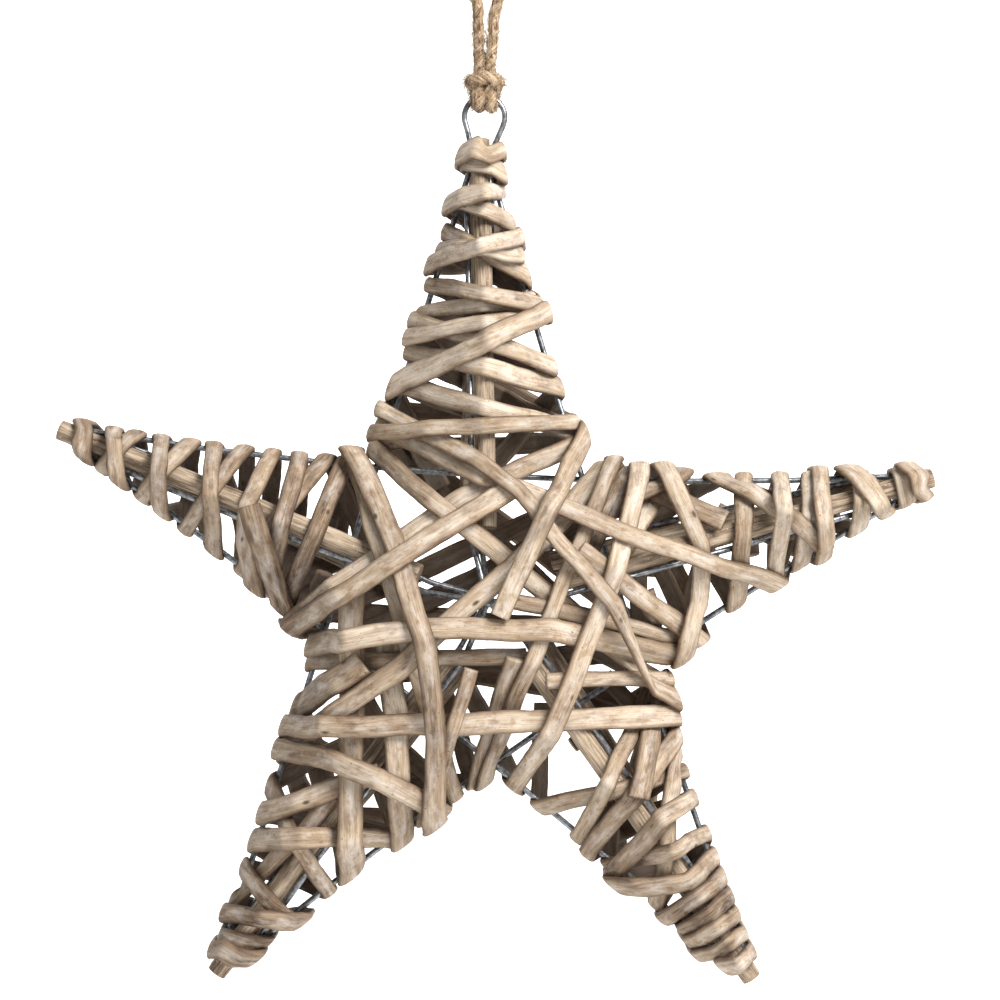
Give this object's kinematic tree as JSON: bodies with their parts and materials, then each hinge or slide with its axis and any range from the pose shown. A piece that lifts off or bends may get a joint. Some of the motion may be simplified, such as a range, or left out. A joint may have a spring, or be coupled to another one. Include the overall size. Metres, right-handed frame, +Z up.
{
  "type": "wicker star ornament",
  "caption": "Five-pointed hanging star of wire and willow cane wrapped in split willow strips, hollow inside, on a jute twine loop.",
  "frame": {"origin": "the point at the top of the jute loop's inside that rests on the hook or nail; the star's middle is 222.6 mm straight below it", "axes": "the star hangs in the XZ plane, +Z up, its front faces -Y and +X is to the right of someone looking at the front"},
  "size_m": [0.3018, 0.1, 0.3576],
  "materials": {
    "split_willow": "split, dried and lightly whitewashed",
    "willow_cane": "round, with bark",
    "galvanised_wire": "zinc coated, dull",
    "jute_twine": "twisted two-ply, hairy"
  },
  "bodies": {
    "root": {"back_cane_left_arm": "willow_cane", "back_cane_low_left_arm": "willow_cane", "back_cane_low_right_arm": "willow_cane", "back_cane_right_arm": "willow_cane", "back_cane_top_arm": "willow_cane", "back_rib_wires": "galvanised_wire", "back_strip_crosswise": "split_willow", "back_strip_falling": "split_willow", "back_strip_low": "split_willow", "back_strip_rising": "split_willow", "back_strip_slanted": "split_willow", "back_strip_upright": "split_willow", "body_strip_crossed_under": "split_willow", "body_strip_cut_end": "split_willow", "body_strip_far_upright": "split_willow", "body_strip_inner_uprights": "split_willow", "body_strip_long_falling": "split_willow", "body_strip_long_slant": "split_willow", "body_strip_low_crosswise": "split_willow", "body_strip_low_slant": "split_willow", "body_strip_low_uprights": "split_willow", "body_strip_right_crosswise": "split_willow", "body_strip_right_upright": "split_willow", "body_strip_short_left": "split_willow", "body_strip_short_right": "split_willow", "body_strip_tall_left": "split_willow", "body_strip_top_right": "split_willow", "body_strip_two_levels": "split_willow", "front_cane_left_arm": "willow_cane", "front_cane_low_left_arm": "willow_cane", "front_cane_low_right_arm": "willow_cane", "front_cane_right_arm": "willow_cane", "front_cane_top_arm": "willow_cane", "front_rib_wires": "galvanised_wire", "jute_knot": "jute_twine", "jute_loop": "jute_twine", "left_arm_strip_middle": "split_willow", "left_arm_strip_neck": "split_willow", "left_arm_strip_tip": "split_willow", "left_arm_strip_under": "split_willow", "low_left_arm_strip_neck": "split_willow", "low_left_arm_strip_tip": "split_willow", "low_left_arm_strip_under": "split_willow", "low_right_arm_strip_broad": "split_willow", "low_right_arm_strip_middle": "split_willow", "low_right_arm_strip_tip": "split_willow", "low_right_arm_strip_under": "split_willow", "low_right_arm_strip_upright": "split_willow", "right_arm_strip_neck": "split_willow", "right_arm_strip_slanted": "split_willow", "right_arm_strip_tip": "split_willow", "right_arm_strip_under": "split_willow", "right_arm_strip_upright": "split_willow", "star_wire_with_eye": "galvanised_wire", "top_arm_strip_broad": "split_willow", "top_arm_strip_falling": "split_willow", "top_arm_strip_neck": "split_willow", "top_arm_strip_rising": "split_willow", "top_arm_strip_tip": "split_willow", "top_arm_strip_under": "split_willow"}
  },
  "joints": []
}
